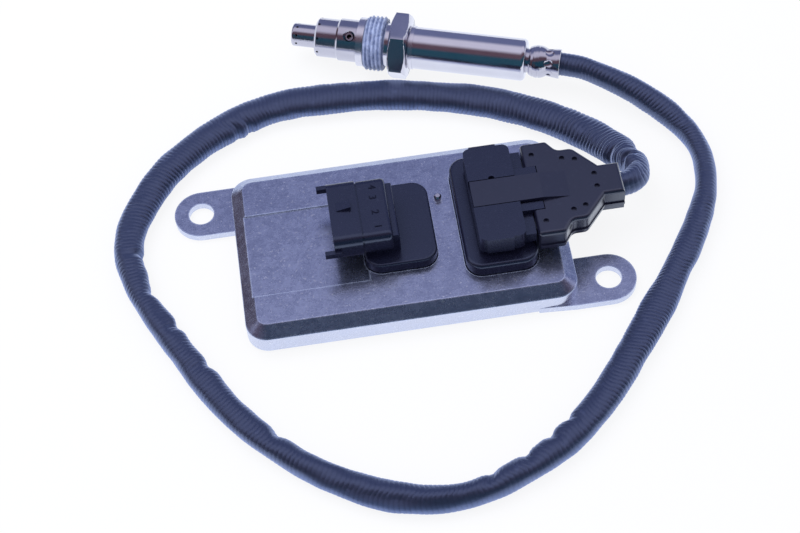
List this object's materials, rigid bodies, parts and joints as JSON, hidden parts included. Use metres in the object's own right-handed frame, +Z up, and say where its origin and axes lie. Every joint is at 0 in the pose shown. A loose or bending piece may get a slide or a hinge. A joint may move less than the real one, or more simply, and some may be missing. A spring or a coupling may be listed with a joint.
{
  "type": "nitrogen oxide sensor",
  "caption": "Flat cast control unit with fastening ears and plastic connectors, joined by a ribbed sleeved cable to a threaded exhaust gas probe.",
  "frame": {"origin": "centre of the control unit's flat underside", "axes": "+X along the control unit towards the cable's plug, +Y across it towards the probe, +Z up out of its top"},
  "size_m": [0.2089, 0.201, 0.028],
  "materials": {
    "cast_aluminium": "fine cast, lightly brushed on top",
    "sheet_aluminium": "rolled sheet",
    "seal_rubber": "matte",
    "board_laminate": "solder mask",
    "black_plastic": "fine grained, satin",
    "contact_metal": "tin plated",
    "sleeve_fabric": "ribbed braided sleeve, satin",
    "nut_steel": "turned, pale paste in the thread",
    "probe_steel": "drawn, polished",
    "ceramic": "unglazed ceramic",
    "talc": "pressed powder"
  },
  "bodies": {
    "unit": {"housing": "cast_aluminium", "base_plate": "sheet_aluminium", "base_seal": "seal_rubber", "vent_pin": "probe_steel", "circuit_board": "board_laminate", "board_components": "black_plastic", "supply_header": "black_plastic", "supply_pins": "contact_metal", "supply_gasket": "seal_rubber", "sensor_header": "black_plastic", "sensor_header_pins": "contact_metal", "sensor_gasket": "seal_rubber", "plug_cover": "black_plastic", "plug_body": "black_plastic", "plug_contacts": "contact_metal", "plug_seal": "seal_rubber", "neck_grommet": "seal_rubber", "cable_sleeve": "sleeve_fabric", "probe_shell": "probe_steel", "outer_protection_tube": "probe_steel", "inner_protection_tube": "probe_steel", "sensor_element": "ceramic", "front_insulator": "ceramic", "talc_seal": "talc", "rear_insulator": "ceramic", "contact_holder": "ceramic", "cable_grommet": "seal_rubber", "rear_sleeve": "probe_steel", "crimp_ferrule": "probe_steel"},
    "nut": {"union_nut": "nut_steel"}
  },
  "joints": [
    {"name": "nut_spin", "type": "hinge", "parent": "unit", "child": "nut", "pos_m": [0.0119, 0.0817, 0.011], "axis": [0.9466, -0.3223, 0], "continuous": true}
  ]
}
